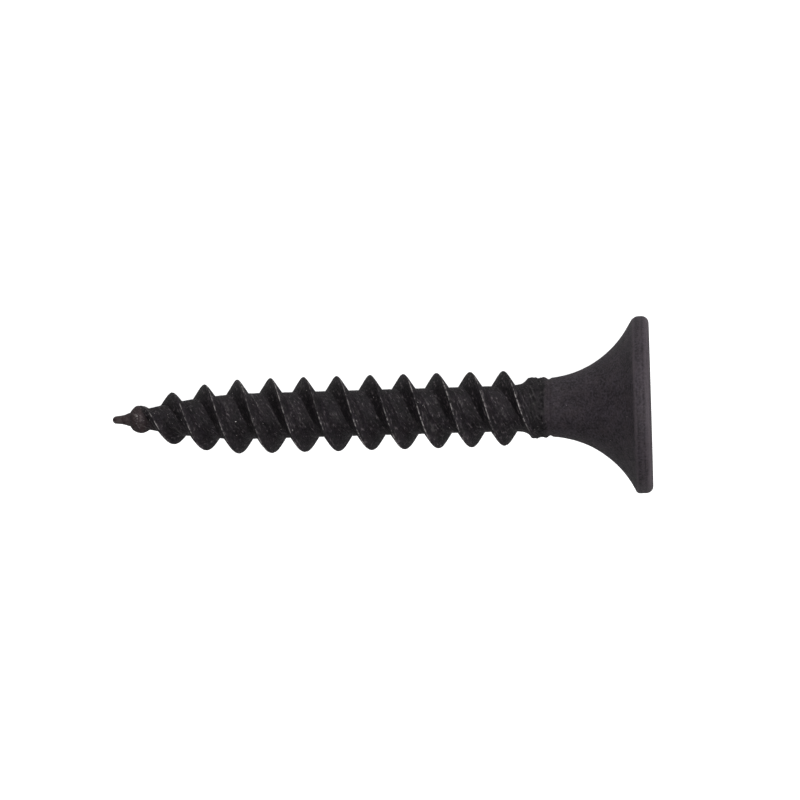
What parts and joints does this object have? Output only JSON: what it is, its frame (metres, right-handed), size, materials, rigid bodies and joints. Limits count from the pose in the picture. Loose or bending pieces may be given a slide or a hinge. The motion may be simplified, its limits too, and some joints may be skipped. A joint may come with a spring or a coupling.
{
  "type": "bugle-head screw",
  "caption": "Bugle-head countersunk screw in black phosphated steel, with a cross recess, a coarse twin-start right-hand thread and a gimlet point.",
  "frame": {"origin": "middle of the head's flat face, where the screw's axis leaves it", "axes": "+X along the screw's axis, out of the head's face, so the tip points towards -X; +Y and +Z across the axis, each along a pair of the recess's wings"},
  "size_m": [0.0254, 0.0082, 0.0082],
  "materials": {
    "phosphated_head": "matte",
    "phosphated_shank": "matte",
    "phosphated_thread": "matte"
  },
  "bodies": {
    "root": {"bugle_head": "phosphated_head", "shank": "phosphated_shank", "thread_core": "phosphated_thread", "thread_start_1": "phosphated_thread", "thread_start_2": "phosphated_thread", "gimlet_point": "phosphated_thread", "tip_pin": "phosphated_thread"}
  },
  "joints": []
}
